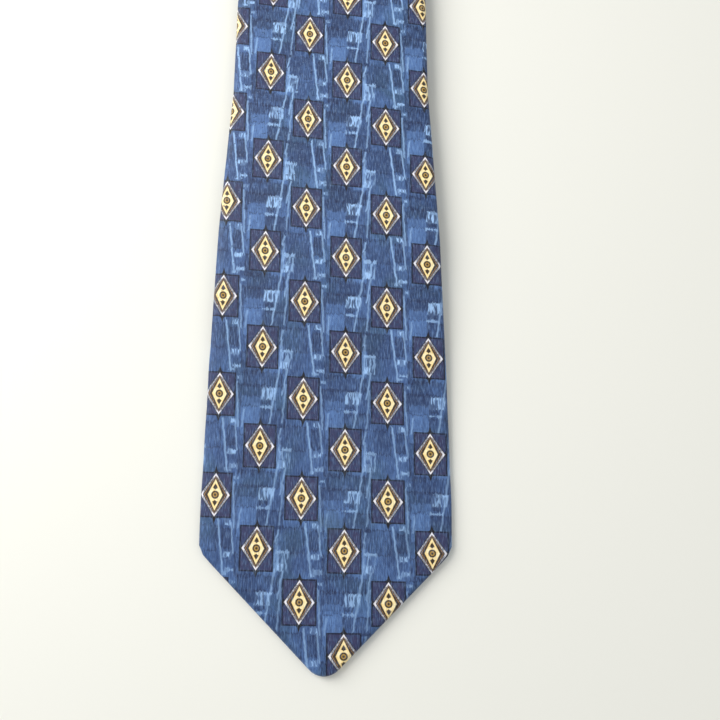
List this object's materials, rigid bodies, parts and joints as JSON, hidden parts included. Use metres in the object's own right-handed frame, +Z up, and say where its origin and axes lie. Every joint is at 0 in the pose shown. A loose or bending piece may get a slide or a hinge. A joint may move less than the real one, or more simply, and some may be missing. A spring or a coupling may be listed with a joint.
{
  "type": "necktie",
  "caption": "Classic long necktie folded at the neck, with a wide pointed blade over a narrow pointed tail, lined, interlined and closed by a back seam.",
  "frame": {"origin": "middle of the folded tie's outline, on the surface it lies on", "axes": "+X across the tie, +Y from the blade's point towards the neck fold, +Z up out of the blade's face"},
  "size_m": [0.095, 0.8644, 0.0087],
  "materials": {
    "printed_silk": "satin",
    "interlining_wool": "matte",
    "tipping_satin": "satin",
    "sewing_thread": "matte",
    "label_weave": "matte",
    "care_satin": "satin"
  },
  "bodies": {
    "tail_half": {"neck_shell_rear": "printed_silk", "tail_shell": "printed_silk", "tail_interlining": "interlining_wool", "tail_tipping": "tipping_satin", "tail_slip_stitch": "sewing_thread", "tail_bar_tack": "sewing_thread", "tail_spare_thread": "sewing_thread", "tail_seam_thread": "sewing_thread"},
    "blade_half": {"blade_shell": "printed_silk", "neck_shell_front": "printed_silk", "keeper_loop": "printed_silk", "blade_interlining": "interlining_wool", "blade_tipping": "tipping_satin", "blade_slip_stitch": "sewing_thread", "blade_bar_tack": "sewing_thread", "blade_spare_thread": "sewing_thread", "blade_seam_thread": "sewing_thread", "keeper_tack_left": "sewing_thread", "keeper_tack_right": "sewing_thread", "maker_label_stitching": "sewing_thread", "care_label_stitch": "sewing_thread", "maker_label": "label_weave"},
    "care_label_flap": {"care_label": "care_satin"}
  },
  "joints": [
    {"name": "neck_fold", "type": "hinge", "parent": "tail_half", "child": "blade_half", "pos_m": [0, 0.4328, 0.00435], "axis": [-1, 0, 0], "range_deg": [0, 180]},
    {"name": "care_label_turn", "type": "hinge", "parent": "blade_half", "child": "care_label_flap", "pos_m": [0, -0.2252, 0.0043], "axis": [1, 0, 0], "range_deg": [0, 120]}
  ]
}
